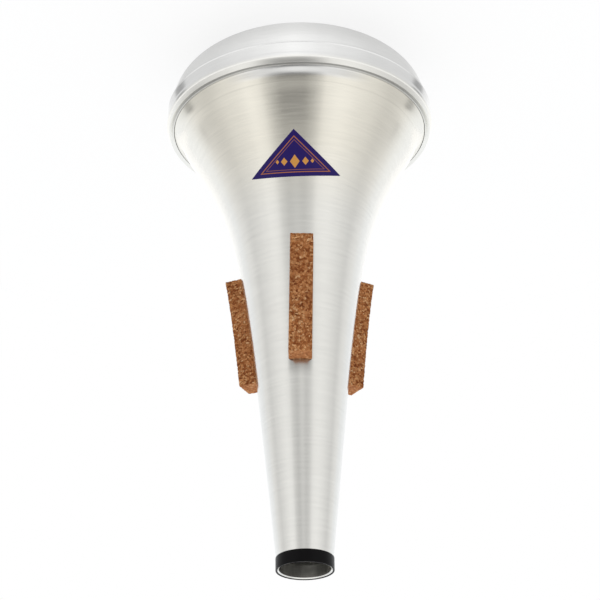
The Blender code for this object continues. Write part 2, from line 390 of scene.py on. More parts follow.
@dataclass(frozen=True)
class SpunAluminium(Finish):
    """Aluminium spun and burnished on a lathe: fine rings and a gloss that they stretch.

    A zone is a pair of places: what it brings starts at the first and is full at the second.
    """

    name: str
    # Colour low down, colour higher up, and the zone of z in which they mix
    colour: Colour = (0.915, 0.88, 0.78)
    far_colour: Colour = (0.89, 0.88, 0.83)
    far_zone: Point = (70.0 * MM, 112.0 * MM)
    # The half away from the label
    rear_colour: Colour = (0.89, 0.885, 0.86)
    rear_share: float = 0.0
    rear_zone: Point = (-45.0 * MM, 0.0)
    # A neutral tint painted where the curl over the seam shows its highlight, on the side of the
    # label
    curl_highlight_colour: Colour = (0.85, 0.85, 0.84)
    curl_highlight_share: float = 0.0
    curl_highlight_zone: Point = (SEAM_Z + 4.4 * MM, SEAM_Z + 2.6 * MM)
    curl_highlight_front: Point = (-52.0 * MM, -64.0 * MM)
    # Gloss, its smears, and how much glossier the flare's mouth is
    roughness: float = 0.20
    stretch: float = 0.3
    smear: float = 0.05
    smear_scale: float = 26.0
    mouth_gloss: float = 0.05
    mouth_zone: Point = (66.0 * MM, 50.0 * MM)
    # Fine and broad rings: spacing, length and seed; what they do to tone, gloss and relief
    fine_rings: tuple[float, float, float] = (1.0 * MM, 14.0 * MM, 3.0)
    broad_rings: tuple[float, float, float] = (4.0 * MM, 60.0 * MM, 11.0)
    ring_tone: float = 0.15
    broad_share: float = 0.3
    ring_gloss: float = 0.16
    ring_depth: float = 0.003 * MM
    fine_relief: float = 0.5
    # Streaks that run along the axis, which also paint patches of light into the bore: strength, and
    # how fast they change round it and along
    streak_and_light: float = 0.0
    streak_and_light_scale: float = 2.2
    streak_and_light_pace: float = 20.0
    # Painted shade in the grooves (the seam, the score and under the shoulder): how dark and how
    # dull it is, and how far it fades towards the back
    groove_darkness: float = 0.8
    dullness: float = 0.2
    shade_back_fade: float = 1.0
    shade_back_zone: Point = (-50.0 * MM, 12.0 * MM)
    # The strips that cast a painted shadow on the metal beside them, and its strength
    strips: "CorkStrips | None" = None
    shadow: float = 0.38

    def rings(self, web: Web, pitch: float, length: float, seed: float) -> Value:
        """Noise that is drawn out round the axis.

        Args:
            web: The material's tree.
            pitch: Spacing of the rings.
            length: How far a ring runs before it changes.
            seed: Shifts the pattern.

        Returns:
            The noise, about 0 to 1.
        """
        x, y, z = web.split(self.place(web))
        radius = (x * x + y * y).call("SQRT")
        place = web.vector(radius / pitch, z / pitch, x / length)
        inputs = {"Vector": place, "W": y / length + seed, "Scale": 1.0, "Detail": 3.0}
        settings = {"noise_dimensions": "4D"}
        return web.value("ShaderNodeTexNoise", 0, settings, inputs)

    def streaks_and_light(self, web: Web, x: Value, y: Value, z: Value) -> Value:
        """Noise that is drawn out along the axis: streaks, with patches of painted light.

        Args:
            web: The material's tree.
            x: Place across.
            y: Place in depth.
            z: Place above the land.

        Returns:
            The noise, about 0 to 1.
        """
        across = (x * x + y * y).call("SQRT") + 0.1 * MM
        place = web.vector(x / across, y / across, z * self.streak_and_light_pace)
        return web.noise(place, self.streak_and_light_scale, 2.0, 0.6)

    def tint(self, web: Web, y: Value, z: Value) -> bpy.types.NodeSocket:
        """Colour of the clean metal.

        Args:
            web: The material's tree.
            y: Place in depth.
            z: Place above the land.

        Returns:
            The colour.
        """
        tint = web.blend(web.smooth(z, *self.far_zone), self.colour, self.far_colour)
        rear = web.smooth(y, *self.rear_zone) * self.rear_share
        tint = web.blend(rear, tint, self.rear_colour)
        # Painted highlight: the curl turns neutral on the side of the label
        curl = web.smooth(z, *self.curl_highlight_zone) * self.curl_highlight_share
        return web.blend(curl * web.smooth(y, *self.curl_highlight_front), tint, self.curl_highlight_colour)

    def build(self) -> bpy.types.Material:
        """Make the material.

        Returns:
            The material.
        """
        material, web = self.start(self.name)
        place = self.place(web)
        x, y, z = web.split(place)
        fine = self.rings(web, *self.fine_rings)
        broad = self.rings(web, *self.broad_rings)
        smears = web.noise(place, self.smear_scale, 4.0, 0.6)
        # Shade painted into the seam's groove, the score and under the shoulder, weaker towards the
        # back
        dirt = web.mark("dirt") * (1.0 - web.smooth(y, *self.shade_back_zone) * self.shade_back_fade)
        tone = 1.0 + (fine - 0.5 + (broad - 0.5) * self.broad_share) * self.ring_tone
        tone = tone * (1.0 - dirt * self.groove_darkness)
        # Streaks, and patches of painted light inside the bore
        tone = tone + (self.streaks_and_light(web, x, y, z) - 0.5) * self.streak_and_light
        # Painted shadow of the cork strips on the metal
        if self.strips:
            tone = tone * (1.0 - self.strips.shade(web, x, y, z) * self.shadow)
        grey = web.vector(tone, tone, tone)
        roughness = self.roughness + (fine - 0.5) * self.ring_gloss + (smears - 0.5) * self.smear
        mouth = web.smooth(z, *self.mouth_zone) * self.mouth_gloss
        self.close(web, {
            "Base Color": web.blend(1.0, self.tint(web, y, z), grey, "MULTIPLY"),
            "Metallic": 1.0,
            "Roughness": roughness + dirt * self.dullness - mouth,
            "Anisotropic": self.stretch,
            "Anisotropic Rotation": 0.25,
            "Normal": self.bump(web, fine * self.fine_relief + broad, self.ring_depth),
        })
        return material


@dataclass(frozen=True)
class BareAluminium(SpunAluminium):
    """The body's metal inside, spun and not burnished: duller, with streaks along the axis and
    painted patches of light.
    """

    name: str = "bare_aluminium"
    colour: Colour = (0.67, 0.66, 0.62)
    far_colour: Colour = (0.67, 0.66, 0.62)
    roughness: float = 0.34
    stretch: float = 0.4
    smear: float = 0.1
    mouth_gloss: float = 0.0
    ring_depth: float = 0.006 * MM
    ring_tone: float = 0.6
    streak_and_light: float = 1.7


@dataclass(frozen=True)
class CapAluminium(SpunAluminium):
    """The cap's metal: fainter rings, and a warmer rim over a neutral skirt."""

    name: str = "cap_aluminium"
    colour: Colour = (0.885, 0.885, 0.875)
    far_colour: Colour = (0.90, 0.89, 0.845)
    far_zone: Point = (37.5 * MM, 40.5 * MM)
    roughness: float = 0.21
    mouth_gloss: float = 0.0
    ring_tone: float = 0.09


@dataclass(frozen=True)
class BlackSleeve(Finish):
    """Smooth semi-gloss black sleeve with a little dust."""

    name: str = "black_sleeve"
    colour: Colour = (0.003, 0.0025, 0.003)
    shine: float = 0.11
    roughness: float = 0.32
    # Grain in cells per metre, and its relief
    grain_scale: float = 3500.0
    grain_depth: float = 0.008 * MM
    # Dust: cells per metre, where its noise starts and is full, colour, share and dullness
    dust_scale: float = 240.0
    dust_range: Point = (0.5, 0.8)
    dust_colour: Colour = (0.010, 0.009, 0.010)
    dust_share: float = 0.3
    dullness: float = 0.16

    def build(self) -> bpy.types.Material:
        """Make the material.

        Returns:
            The material.
        """
        material, web = self.start(self.name)
        place = self.place(web)
        grain = web.noise(place, self.grain_scale)
        dust = web.noise(place, self.dust_scale, 3.0, 0.6)
        dusty = web.smooth(dust, *self.dust_range) * self.dust_share
        self.close(web, {
            "Base Color": web.blend(dusty, self.colour, self.dust_colour),
            "Roughness": self.roughness + (dust - 0.5) * self.dullness,
            "Specular IOR Level": self.shine,
            "Normal": self.bump(web, grain, self.grain_depth),
        })
        return material


@dataclass(frozen=True)
class AgglomeratedCork(Finish):
    """Pressed cork granules: brown chips of many tones, dark specks and open pits.

    Scales are cells per metre, and a range is where what it brings starts and is full.
    """

    name: str = "cork"
    shine: float = 0.12
    roughness: float = 0.88
    gloss: float = 0.12
    # Chips: size, how far their outlines bend, and tones from the darkest to the lightest
    chip: float = 1.0 * MM
    bend: float = 1.1 * MM
    bend_scale: float = 700.0
    chip_tones: tuple[tuple[float, Colour], ...] = (
        (0.0, (0.25, 0.068, 0.018)), (0.15, (0.38, 0.124, 0.035)), (0.45, (0.56, 0.222, 0.080)),
        (0.75, (0.69, 0.310, 0.122)), (0.90, (0.82, 0.43, 0.19)), (1.0, (0.92, 0.58, 0.31)),
    )
    grain_scale: float = 2200.0
    grain_tones: tuple[Point, ...] = ((0.3, 0.80), (0.7, 1.15))
    patch_scale: float = 130.0
    patch_tones: tuple[tuple[float, Colour], ...] = (
        (0.3, (0.86, 0.82, 0.80)), (0.7, (1.1, 1.1, 1.1)),
    )
    speck_scale: float = 1250.0
    speck_range: Point = (0.66, 0.73)
    speck_colour: Colour = (0.11, 0.024, 0.010)
    speck_share: float = 0.7
    # Joints between the chips
    joint_range: Point = (0.09, 0.0)
    joint_colour: Colour = (0.20, 0.055, 0.018)
    joint_share: float = 0.5
    # The ends where the strip was cut: a lighter colour is painted there for the light from above,
    # and the relief is flatter
    cut_lit_colour: Colour = (0.56, 0.24, 0.105)
    cut_lit_share: float = 0.4
    cut_flatness: float = 0.6
    # Relief, and the parts of chips, grain, joints and specks in it
    depth: float = 0.08 * MM
    relief: tuple[float, float, float, float] = (0.7, 0.8, -0.9, -0.8)

    def chips(self, web: Web, place: bpy.types.NodeSocket) -> tuple[list[Value], Value]:
        """Lay out the chips, their outlines bent by noise.

        Args:
            web: The material's tree.
            place: Object coordinates.

        Returns:
            Three random numbers for each chip, and the distance to the next chip.
        """
        inputs = {"Vector": place, "Scale": self.bend_scale}
        wobble = web.node("ShaderNodeTexNoise", None, inputs).outputs["Color"]
        inputs = {0: wobble, "Scale": self.bend}
        shift = web.node("ShaderNodeVectorMath", {"operation": "SCALE"}, inputs).outputs[0]
        bent = web.node("ShaderNodeVectorMath", {"operation": "ADD"}, {0: place, 1: shift})
        inputs = {"Vector": bent.outputs[0], "Scale": 1 / self.chip}
        random = web.split(web.node("ShaderNodeTexVoronoi", None, inputs).outputs["Color"])
        edge = {"feature": "DISTANCE_TO_EDGE"}
        return list(random), web.value("ShaderNodeTexVoronoi", "Distance", edge, inputs)

    def build(self) -> bpy.types.Material:
        """Make the material.

        Returns:
            The material.
        """
        material, web = self.start(self.name)
        place = self.place(web)
        random, gap = self.chips(web, place)
        grain = web.noise(place, self.grain_scale, 3.0, 0.65)
        patches = web.noise(place, self.patch_scale)
        tone = web.ramp(random[0], list(self.chip_tones))
        for noise, tones in ((grain, self.grain_tones), (patches, self.patch_tones)):
            tone = web.blend(1.0, tone, web.ramp(noise, list(tones)), "MULTIPLY")
        specks = web.smooth(web.noise(place, self.speck_scale), *self.speck_range)
        joints = web.smooth(gap, *self.joint_range)
        cut = web.mark("cut")
        tone = web.blend(specks * self.speck_share, tone, self.speck_colour)
        tone = web.blend(joints * self.joint_share, tone, self.joint_colour)
        # Painted light: the cut ends are made lighter
        tone = web.blend(cut * self.cut_lit_share, tone, self.cut_lit_colour)
        parts = (random[1], grain, joints, specks)
        relief = sum(part * weight for part, weight in zip(parts, self.relief))
        self.close(web, {
            "Base Color": tone,
            "Roughness": self.roughness - random[2] * self.gloss,
            "Specular IOR Level": self.shine,
            "Normal": self.bump(web, relief * (1.0 - cut * self.cut_flatness), self.depth),
        })
        return material


@dataclass(frozen=True)
class PrintedFilm(Finish):
    """Dark violet-blue film with plain orange lines and lozenges, laid out by the UV map.

    The map counts in lengths of the long edge: 0 is that edge's middle line across and
    the point's level up.
    """

    name: str = "printed_film"
    field_colour: Colour = (0.018, 0.007, 0.135)
    worn_colour: Colour = (0.036, 0.018, 0.20)
    line_colour: Colour = (0.60, 0.21, 0.06)
    motif_colour: Colour = (0.95, 0.45, 0.08)
    shine: float = 0.22
    roughness: float = 0.38
    # Worn spots: cells per metre, how far they lighten the film and thin the ink, dullness
    wear_scale: float = 1500.0
    wear: float = 0.3
    dullness: float = 0.2
    # How much duller the ink is, its part in the relief, and the relief
    ink_dullness: float = 0.08
    ink_relief: float = 0.6
    depth: float = 0.012 * MM
    # Height of the triangle, distance of the line from its edges and the line's width
    rise: float = 0.517
    inset: float = 0.052
    line: float = 0.009
    # A row of lozenges: its level, then the place aside, half width and half height of each
    row: float = 0.67
    lozenges: tuple[tuple[float, float, float], ...] = (
        (0.0, 0.052, 0.075), (0.115, 0.036, 0.045), (0.19, 0.020, 0.025),
    )

    def lines(self, web: Web, aside: Value, up: Value) -> Value:
        """The line along the three edges and the hairline inside it.

        Args:
            web: The material's tree.
            aside: Distance from the middle line.
            up: Level, 0 at the point.

        Returns:
            1 on the line, 0.8 on the hairline.
        """
        slope = math.hypot(0.5, self.rise)
        margin = web.least(self.rise - up, (up * 0.5 - aside * self.rise) / slope)
        line = web.smooth(abs(margin - self.inset), self.line * 0.75, self.line * 0.35)
        hair = web.smooth(abs(margin - self.inset * 1.5), self.line * 0.45, self.line * 0.15)
        return web.most(line, hair * 0.8)

    def motif(self, web: Web, aside: Value, up: Value) -> Value:
        """The row of lozenges, the same on both sides.

        Args:
            web: The material's tree.
            aside: Distance from the middle line.
            up: Level, 0 at the point.

        Returns:
            1 inside a lozenge.
        """
        above = abs(up - self.rise * self.row)
        reach = [abs(aside - place) / wide + above / high for place, wide, high in self.lozenges]
        return web.smooth(web.least(web.least(*reach[:2]), reach[2]), 1.06, 0.94)

    def build(self) -> bpy.types.Material:
        """Make the material.

        Returns:
            The material.
        """
        material, web = self.start(self.name)
        across, up, _ = web.split(web.node("ShaderNodeTexCoord").outputs["UV"])
        aside = abs(across - 0.5)
        motif = self.motif(web, aside, up)
        print_mask = web.most(self.lines(web, aside, up), motif)
        worn = web.noise(self.place(web), self.wear_scale, 3.0, 0.6)
        film = web.blend(worn * self.wear, self.field_colour, self.worn_colour)
        ink = web.blend(motif, self.line_colour, self.motif_colour)
        roughness = self.roughness + (worn - 0.5) * self.dullness
        relief = print_mask * self.ink_relief + worn * (1.0 - self.ink_relief)
        self.close(web, {
            "Base Color": web.blend(print_mask * (1.0 - worn * self.wear), film, ink),
            "Roughness": roughness + print_mask * self.ink_dullness,
            "Specular IOR Level": self.shine,
            "Normal": self.bump(web, relief, self.depth),
        })
        return material


@dataclass(frozen=True)
class PaleFloor(Finish):
    """Pale floor that keeps the mute's soft shadow and runs out into the white around it."""

    name: str = "pale_floor"
    # Grey of its paint with the change by fine grain, and its own light to the camera
    tone: float = 0.25
    grain: float = 0.01
    grain_scale: float = 900.0
    glow: float = 0.785
    # Distances from the axis between which the floor fades out
    fade: Point = (0.24, 0.42)
    # Brightness in the metal by bearing from the camera's side, as a share of half a turn
    far_shine: tuple[Point, ...] = (
        (0.0, 0.87), (0.05, 0.81), (0.10, 0.74), (0.17, 0.66), (0.30, 0.55), (0.46, 0.53),
        (0.56, 0.64), (0.64, 0.84), (0.75, 0.95), (1.0, 0.97),
    )
    near_shine: tuple[Point, ...] = (
        (0.0, 0.66), (0.10, 0.60), (0.22, 0.54), (0.42, 0.55), (0.55, 0.72), (0.70, 0.92),
        (1.0, 0.97),
    )
    # Distances from the axis at which the far levels, and then the edge's, take over
    far_zone: Point = (55.0 * MM, 115.0 * MM)
    edge_zone: Point = (140.0 * MM, 190.0 * MM)
    edge_shine: float = 0.88
    turn: float = math.radians(3.0)
    # A dark spot in the metal at each side: bearing and distance, each with how its edge
    # fades, and strength
    spot_bearing: float = 0.5
    spot_spread: Point = (0.05, 0.02)
    spot_reach: float = 112.0 * MM
    spot_length: Point = (26.0 * MM, 10.0 * MM)
    spot_depth: float = 0.75

    def mirrored(self, web: Web, bearing: Value, reach: Value) -> Value:
        """Brightness of the floor in the metal.

        Args:
            web: The material's tree.
            bearing: From the camera's side, in radians.
            reach: Distance from the axis.

        Returns:
            The brightness.
        """
        share = abs(bearing - self.turn) / math.pi
        near, far = (
            web.split(web.ramp(share, list(stops), "EASE"))[0]
            for stops in (self.near_shine, self.far_shine)
        )
        level = near + web.smooth(reach, *self.far_zone) * (far - near)
        level = level + web.smooth(reach, *self.edge_zone) * (self.edge_shine - level)
        spot = web.smooth(abs(abs(bearing) / math.pi - self.spot_bearing), *self.spot_spread)
        spot = spot * web.smooth(abs(reach - self.spot_reach), *self.spot_length)
        return level * (1.0 - spot * self.spot_depth)

    def build(self) -> bpy.types.Material:
        """Make the material.

        Returns:
            The material.
        """
        material, web = self.start(self.name)
        x, y, _ = web.split(self.place(web))
        reach = (x * x + y * y).call("SQRT")
        grain = web.noise(self.place(web), self.grain_scale)
        level = self.tone + (grain - 0.5) * self.grain
        paint = web.node("ShaderNodeBsdfDiffuse", None, {0: web.vector(level, level, level)})
        paths = web.node("ShaderNodeLightPath")
        mirrored = self.mirrored(web, web.math("ARCTAN2", x, -y), reach)
        seen = Value(web, paths.outputs["Is Camera Ray"]) * self.glow
        for kind in ("Is Glossy Ray", "Is Transmission Ray"):
            seen = web.most(seen, Value(web, paths.outputs[kind]) * mirrored)
        light = web.node("ShaderNodeEmission", None, {0: (1.0, 1.0, 1.0, 1.0), 1: seen})
        both = web.node("ShaderNodeAddShader", None, {0: paint.outputs[0], 1: light.outputs[0]})
        clear = web.node("ShaderNodeBsdfTransparent")
        shares = {0: web.smooth(reach, *self.fade), 1: both.outputs[0], 2: clear.outputs[0]}
        mixed = web.node("ShaderNodeMixShader", None, shares)
        web.node("ShaderNodeOutputMaterial", None, {"Surface": mixed.outputs[0]})
        return material


# Forms


@dataclass(frozen=True)
class BodyLine:
    """Outer line of the body: a straight taper with a bell-like flare added to it."""

    length: float = 240.0 * MM
    mouth: float = 65.8 * MM
    cone: float = 36.9 * MM
    end: float = 13.12 * MM
    flare_height: float = 38.5 * MM
    flare_power: float = 1.19
    curl: float = 0.75 * MM
    curl_height: float = 4.2 * MM

    def radius(self, height: float) -> float:
        """Outer radius at a height.

        Args:
            height: Above the seam plane, 0 or more.

        Returns:
            The radius.
        """
        cone = self.end + (self.cone - self.end) * (1 - height / self.length)
        spread = math.exp(-((height / self.flare_height) ** self.flare_power))
        share = height / self.curl_height
        curl = self.curl * share * math.exp((1 - share * share) / 2)
        return cone + (self.mouth - self.cone) * spread - curl

    def slope(self, height: float) -> float:
        """Radius gained per unit of height lost."""
        step = 0.01 * MM
        return (self.radius(height - step) - self.radius(height + step)) / (2 * step)

    def field(self, height: Value) -> Value:
        """The same radius as a Geometry Nodes field, above the seam's own curl.

        Args:
            height: Above the seam plane.

        Returns:
            The radius.
        """
        cone = self.cone - height * ((self.cone - self.end) / self.length)
        spread = (-((height / self.flare_height) ** self.flare_power)).call("EXPONENT")
        return cone + spread * (self.mouth - self.cone)


LINE = BodyLine()


class Form:
    """A Geometry Nodes tree with named inputs, which gives one piece after another its shape."""

    def __init__(self, name: str) -> None:
        """Make an empty tree.

        Args:
            name: The tree's name.
        """
        self.tree = bpy.data.node_groups.new(name, "GeometryNodeTree")
        self.web = Web(self.tree)
        self.names: dict[str, str] = {}
        self.entry = self.web.node("NodeGroupInput")
        self.take("Start", "NodeSocketGeometry")

    def take(self, name: str, kind: str = "NodeSocketFloat") -> Value:
        """Add a named input.

        Args:
            name: The input's name.
            kind: Its socket type.

        Returns:
            The input, as seen inside the tree.
        """
        socket = self.tree.interface.new_socket(name, in_out="INPUT", socket_type=kind)
        self.names[name] = socket.identifier
        return Value(self.web, self.entry.outputs[name])

    def add(
        self, kind: str, inputs: dict[str, Feed], settings: dict[str, Any] | None = None
    ) -> bpy.types.NodeSocket:
        """Add a node and take its first output.

        Args:
            kind: The node's type.
            inputs: Values or links of its inputs, by name.
            settings: Its properties.

        Returns:
            The output.
        """
        return self.web.node(kind, settings, inputs).outputs[0]

    def move(self, mesh: Feed, place: Feed) -> bpy.types.NodeSocket:
        """Put each point of a mesh in its place."""
        return self.add("GeometryNodeSetPosition", {"Geometry": mesh, "Position": place})

    def weld(self, mesh: Feed) -> bpy.types.NodeSocket:
        """Join the points that lie on each other."""
        return self.add("GeometryNodeMergeByDistance", {"Geometry": mesh, "Distance": WELD})

    def soften(self, mesh: Feed) -> bpy.types.NodeSocket:
        """Shade all faces smooth."""
        inputs = {"Geometry": mesh, "Shade Smooth": True}
        return self.add("GeometryNodeSetShadeSmooth", inputs, {"domain": "FACE"})

    def store(
        self, mesh: Feed, name: str, value: Feed, kind: str = "FLOAT", domain: str = "POINT"
    ) -> bpy.types.NodeSocket:
        """Keep a value with a mesh.

        Args:
            mesh: The mesh.
            name: What the value is called.
            value: The value.
            kind: Its data type.
            domain: What it belongs to.

        Returns:
            The mesh that keeps it.
        """
        inputs = {"Geometry": mesh, "Name": name, "Value": value}
        settings = {"data_type": kind, "domain": domain}
        return self.add("GeometryNodeStoreNamedAttribute", inputs, settings)

    def end(self, mesh: Feed, *coats: tuple[Feed, Feed]) -> None:
        """Close the tree.

        Args:
            mesh: The finished mesh.
            coats: Material inputs, each with the faces that it goes on.
        """
        mesh = self.add("GeometryNodeRealizeInstances", {"Geometry": mesh})
        for material, faces in coats:
            inputs = {"Geometry": mesh, "Selection": faces, "Material": material}
            mesh = self.add("GeometryNodeSetMaterial", inputs)
        self.tree.interface.new_socket("Mesh", in_out="OUTPUT", socket_type="NodeSocketGeometry")
        self.web.node("NodeGroupOutput", None, {0: mesh})

    def shape(
        self,
        name: str,
        start: bpy.types.Mesh,
        inputs: dict[str, Any],
        wall: float = 0.0,
    ) -> bpy.types.Object:
        """Make a piece.

        Args:
            name: The piece's name.
            start: The mesh that the tree starts from.
            inputs: Values of the tree's inputs, by name.
            wall: Thickness given to an open surface, inwards.

        Returns:
            An object at the origin with a plain mesh.
        """
        draft = bpy.data.objects.new(name, start)
        modifier = draft.modifiers.new("Form", "NODES")
        modifier.node_group = self.tree
        for key, setting in inputs.items():
            modifier[self.names[key]] = setting
        if wall:
            solid = draft.modifiers.new("Wall", "SOLIDIFY")
            solid.thickness = wall
            solid.offset = -1.0
        bpy.context.scene.collection.objects.link(draft)
        graph = bpy.context.evaluated_depsgraph_get()
        mesh = bpy.data.meshes.new_from_object(
            draft.evaluated_get(graph), preserve_all_data_layers=True, depsgraph=graph
        )
        bpy.data.objects.remove(draft, do_unlink=True)
        mesh.name = name
        piece = bpy.data.objects.new(name, mesh)
        bpy.context.scene.collection.objects.link(piece)
        return piece


class TurnedForm(Form):
    """A closed section turned round the Z axis, outer side first and downwards."""

    def __init__(self) -> None:
        """Build the tree."""
        super().__init__("turned_form")
        web = self.web
        section = self.entry.outputs["Start"]
        sides = self.take("Sides", "NodeSocketInt")
        crease = self.take("Crease angle")
        outside = self.take("Outside", "NodeSocketMaterial")
        inside = self.take("Inside", "NodeSocketMaterial")
        count = web.value(
            "GeometryNodeAttributeDomainSize", "Point Count", {"component": "MESH"}, {0: section}
        )
        mesh = self.add("GeometryNodeMeshGrid", {"Vertices X": sides + 1, "Vertices Y": count})
        index = web.value("GeometryNodeInputIndex")
        row = index % count
        turn = (index / count + FLOOR_GUARD).call("FLOOR") * (-2 * math.pi) / sides
        place = web.node("GeometryNodeInputPosition").outputs[0]
        radius, _, height = web.split(self.sample(section, place, row, "FLOAT_VECTOR"))
        for name in ("inner", "dirt"):
            mark = self.named(name)
            mesh = self.store(mesh, name, self.sample(section, mark, row, "FLOAT"))
        place = web.vector(radius * turn.call("COSINE"), radius * turn.call("SINE"), height)
        mesh = self.weld(self.move(mesh, place))
        loose = web.value("GeometryNodeInputMeshEdgeNeighbors") < 0.5
        settings = {"domain": "EDGE", "mode": "EDGE_FACE"}
        mesh = self.add(
            "GeometryNodeDeleteGeometry", {"Geometry": mesh, "Selection": loose}, settings
        )
        sharp = web.value("GeometryNodeInputMeshEdgeAngle") > crease
        inputs = {"Geometry": self.soften(mesh), "Selection": sharp, "Shade Smooth": False}
        mesh = self.add("GeometryNodeSetShadeSmooth", inputs, {"domain": "EDGE"})
        self.end(mesh, (outside, True), (inside, self.named("inner") > 0.9))

    def named(self, name: str) -> Value:
        """Read a number that the mesh keeps."""
        settings = {"data_type": "FLOAT"}
        return self.web.value("GeometryNodeInputNamedAttribute", 0, settings, {"Name": name})

    def sample(
        self, section: Feed, value: Feed, row: Value, kind: str
    ) -> bpy.types.NodeSocket:
        """Read a value off the section.

        Args:
            section: The section's mesh.
            value: What is read.
            row: Number of the section's point.
            kind: The value's data type.

        Returns:
            The value.
        """
        inputs = {"Geometry": section, "Value": value, "Index": row}
        return self.add("GeometryNodeSampleIndex", inputs, {"data_type": kind})

    def turn(
        self,
        name: str,
        outer: list[Point],
        inner: list[Point],
        outside: bpy.types.Material,
        inside: bpy.types.Material,
        dirt: tuple[tuple[float, float, float, float], ...] = (),
        crease: float = 35.0,
    ) -> bpy.types.Object:
        """Turn a wall.

        Args:
            name: The piece's name.
            outer: Outer line from the top down, as radius and height.
            inner: Inner line from the bottom up.
            outside: Material of the outer side and the edges.
            inside: Material of the inner side.
            dirt: Where shade is painted in the grooves: radius, height and reach in mm, and
                strength.
            crease: Edges that bend more than these degrees stay sharp.

        Returns:
            The piece.
        """
        points = outer + inner + outer[:1]
        mesh = bpy.data.meshes.new(name)
        edges = [(i, i + 1) for i in range(len(points) - 1)]
        mesh.from_pydata([(r, 0.0, h + SEAM_Z) for r, h in points], edges, [])
        marks = {
            "inner": [0.0] * len(outer) + [1.0] * len(inner) + [0.0],
            "dirt": [
                max([w * math.exp(-((r / MM - x) ** 2 + (h / MM - y) ** 2) / size ** 2)
                     for x, y, size, w in dirt] + [0.0])
                for r, h in points
            ],
        }
        for key, levels in marks.items():
            mesh.attributes.new(key, "FLOAT", "POINT").data.foreach_set("value", levels)
        return self.shape(name, mesh, {
            "Sides": SIDES,
            "Crease angle": math.radians(crease),
            "Outside": outside,
            "Inside": inside,
        })


def inset(line: list[Point], depth: float) -> list[Point]:
    """Run a line beside another, on the side of the axis, and back up.

    Args:
        line: Points from the top down.
        depth: Distance between the lines.

    Returns:
        Points from the bottom up.
    """
    normals = []
    for (r0, h0), (r1, h1) in zip(line, line[1:]):
        size = math.hypot(r1 - r0, h1 - h0)
        normals.append(((h1 - h0) / size, -(r1 - r0) / size))
    result = []
    for i, (radius, height) in enumerate(line):
        first = normals[max(i - 1, 0)]
        second = normals[min(i, len(normals) - 1)]
        across, up = first[0] + second[0], first[1] + second[1]
        scale = 2 * depth / (across * across + up * up)
        result.append((max(radius + across * scale, 0.0), height + up * scale))
    return result[::-1]


def rounded(
    corners: list[tuple[float, float, float]], steps: int = 6, most: float = 0.48
) -> list[Point]:
    """Round the corners of a line.

    Args:
        corners: Radius, height and length of the rounding of each corner, in mm.
        steps: Sections of each curve.
        most: The largest share of a side that one curve takes.

    Returns:
        The line in metres, with a curve at each rounded corner.
    """
    points = []
    for i, (x, y, size) in enumerate(corners):
        if size == 0.0:
            points.append((x * MM, y * MM))
            continue
        ends = []
        for ax, ay, _ in (corners[i - 1], corners[i + 1]):
            share = min(size / math.hypot(ax - x, ay - y), most)
            ends.append((x + (ax - x) * share, y + (ay - y) * share))
        (x0, y0), (x1, y1) = ends
        for k in range(steps + 1):
            t = k / steps
            start, middle, end = (1 - t) ** 2, 2 * t * (1 - t), t * t
            points.append((
                (x0 * start + x * middle + x1 * end) * MM,
                (y0 * start + y * middle + y1 * end) * MM,
            ))
    return points


